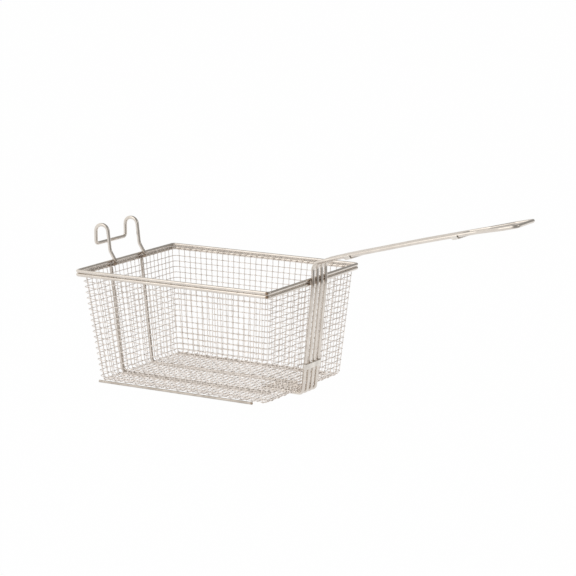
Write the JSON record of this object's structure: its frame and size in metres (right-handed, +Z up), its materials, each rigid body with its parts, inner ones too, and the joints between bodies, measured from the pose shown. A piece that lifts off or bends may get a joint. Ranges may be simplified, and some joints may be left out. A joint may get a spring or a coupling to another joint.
{
  "type": "deep fryer basket",
  "caption": "Rectangular wire-mesh fryer basket with tapered walls, a double wire rim, a bent-wire hanging hook on one end and a long flared wire handle on the other.",
  "frame": {"origin": "middle of the whole basket's bounding box in plan, on the surface it stands on", "axes": "+X along the basket towards the end of the handle, +Y across it, +Z up out of the basket's mouth"},
  "size_m": [0.5779, 0.219, 0.2365],
  "materials": {
    "plated_rod": "bright plated steel wire",
    "plated_mesh": "bright plated woven wire",
    "strap_steel": "plated strip, slightly dull",
    "weld_steel": "plated over a rough weld"
  },
  "bodies": {
    "root": {"rim_upper_wire": "plated_rod", "rim_lower_wire": "plated_rod", "front_runner_rod": "plated_rod", "rear_runner_rod": "plated_rod", "frame_rod_front": "plated_rod", "frame_rod_rear": "plated_rod", "hook_wire": "plated_rod", "handle_outer_wire": "plated_rod", "handle_inner_wire": "plated_rod", "mesh_basket": "plated_mesh", "wall_strap": "strap_steel", "handle_strap_root": "strap_steel", "handle_strap_grip": "strap_steel", "weld_handle_front": "weld_steel", "weld_handle_mid_front": "weld_steel", "weld_handle_mid_rear": "weld_steel", "weld_handle_rear": "weld_steel", "weld_hook_front": "weld_steel", "weld_hook_rear": "weld_steel"}
  },
  "joints": []
}
